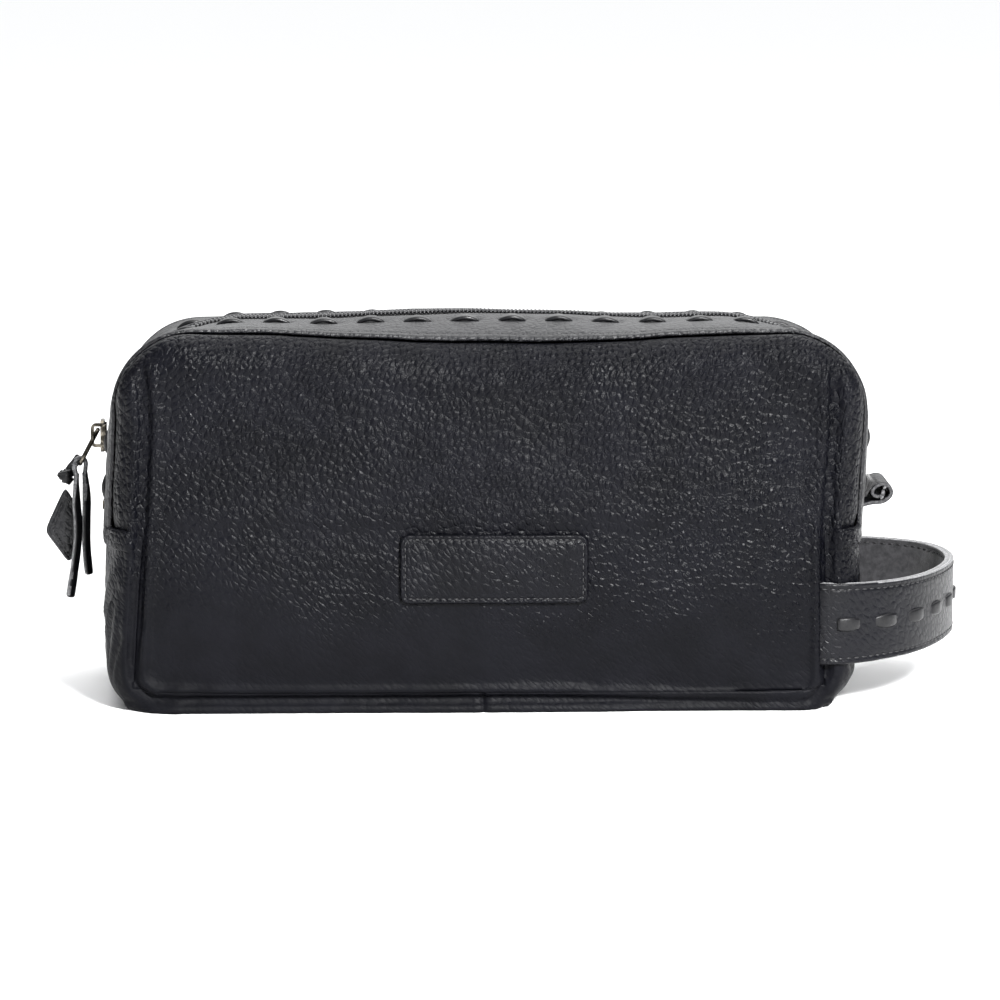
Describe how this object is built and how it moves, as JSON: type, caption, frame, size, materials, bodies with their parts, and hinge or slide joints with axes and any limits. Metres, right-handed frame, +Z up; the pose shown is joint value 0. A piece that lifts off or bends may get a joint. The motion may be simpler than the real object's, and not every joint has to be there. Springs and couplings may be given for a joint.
{
  "type": "leather toiletry bag",
  "caption": "Soft box-shaped leather toiletry bag with a zip along the crown between laced strips, a swinging pull with a tag, and a side strap handle.",
  "frame": {"origin": "the middle of the body's footprint, on the surface the bag stands on", "axes": "+Z up, -Y the front with the blank patch, +X the end with the handle"},
  "size_m": [0.34, 0.1152, 0.1441],
  "materials": {
    "bag_leather": "pebbled full-grain leather, satin",
    "lace_leather": "smooth flat leather lace with raw grey edges",
    "strap_suede": "flesh side of the strap, matt",
    "lining_cloth": "plain woven lining",
    "zip_tape": "herringbone zip tape",
    "zip_coil": "nylon coil",
    "slider_metal": "dark antique plating"
  },
  "bodies": {
    "bag": {"front_panel": "bag_leather", "back_panel": "bag_leather", "left_gusset": "bag_leather", "right_gusset": "bag_leather", "front_lining": "lining_cloth", "back_lining": "lining_cloth", "base_lining": "lining_cloth", "name_patch": "bag_leather", "left_end_front_strip": "bag_leather", "left_end_back_strip": "bag_leather", "left_end_zip_tape": "zip_tape", "left_end_zip_coil": "zip_coil", "left_zip_stops": "slider_metal", "left_end_lace": "lace_leather", "right_end_front_strip": "bag_leather", "right_end_back_strip": "bag_leather", "right_end_zip_tape": "zip_tape", "right_end_zip_coil": "zip_coil", "right_zip_stops": "slider_metal", "right_end_lace": "lace_leather", "handle_front_end": "bag_leather", "handle_back_end": "bag_leather"},
    "front_lip": {"front_zip_strip": "bag_leather", "front_zip_tape": "zip_tape", "front_zip_coil": "zip_coil", "front_strip_lace": "lace_leather"},
    "back_lip": {"back_zip_strip": "bag_leather", "back_zip_tape": "zip_tape", "back_zip_coil": "zip_coil", "back_strip_lace": "lace_leather"},
    "slider": {"zip_slider": "slider_metal", "slider_crown": "slider_metal"},
    "puller": {"zip_puller": "slider_metal", "thong_fold": "lace_leather"},
    "pull_tails": {"long_pull_tail": "lace_leather", "short_pull_tail": "lace_leather"},
    "tag": {"pull_tag": "bag_leather", "tag_lace": "lace_leather"},
    "end_tab": {"zip_end_tab": "bag_leather"},
    "handle": {"handle_outer": "bag_leather", "handle_lining": "strap_suede", "handle_lace": "lace_leather"}
  },
  "joints": [
    {"name": "front_lip_open", "type": "hinge", "parent": "bag", "child": "front_lip", "pos_m": [0, -0.0397, 0.1362], "axis": [1, 0, 0], "range_deg": [0, 75]},
    {"name": "back_lip_open", "type": "hinge", "parent": "bag", "child": "back_lip", "pos_m": [0, 0.0397, 0.1362], "axis": [-1, 0, 0], "range_deg": [0, 75]},
    {"name": "zip_slide", "type": "slide", "parent": "bag", "child": "slider", "axis": [0, 0, 1], "range_m": [-0.018, 0]},
    {"name": "puller_swing", "type": "hinge", "parent": "slider", "child": "puller", "pos_m": [-0.1421, 0, 0.097], "axis": [0, 1, 0], "range_deg": [0, 120]},
    {"name": "tails_swing", "type": "hinge", "parent": "puller", "child": "pull_tails", "pos_m": [-0.14886, 0, 0.08429], "axis": [0, 1, 0], "range_deg": [0, 80]},
    {"name": "tag_swing", "type": "hinge", "parent": "puller", "child": "tag", "pos_m": [-0.14886, 0, 0.08429], "axis": [0, 1, 0], "range_deg": [0, 80]},
    {"name": "end_tab_flex", "type": "hinge", "parent": "bag", "child": "end_tab", "pos_m": [0.1405, 0, 0.0705], "axis": [0, -1, 0], "range_deg": [-25, 25], "stiffness_Nm_per_rad": 0.02},
    {"name": "handle_swing", "type": "hinge", "parent": "bag", "child": "handle", "pos_m": [0.128, 0, 0.032], "axis": [0, -1, 0], "range_deg": [-18, 20], "stiffness_Nm_per_rad": 0.4}
  ]
}
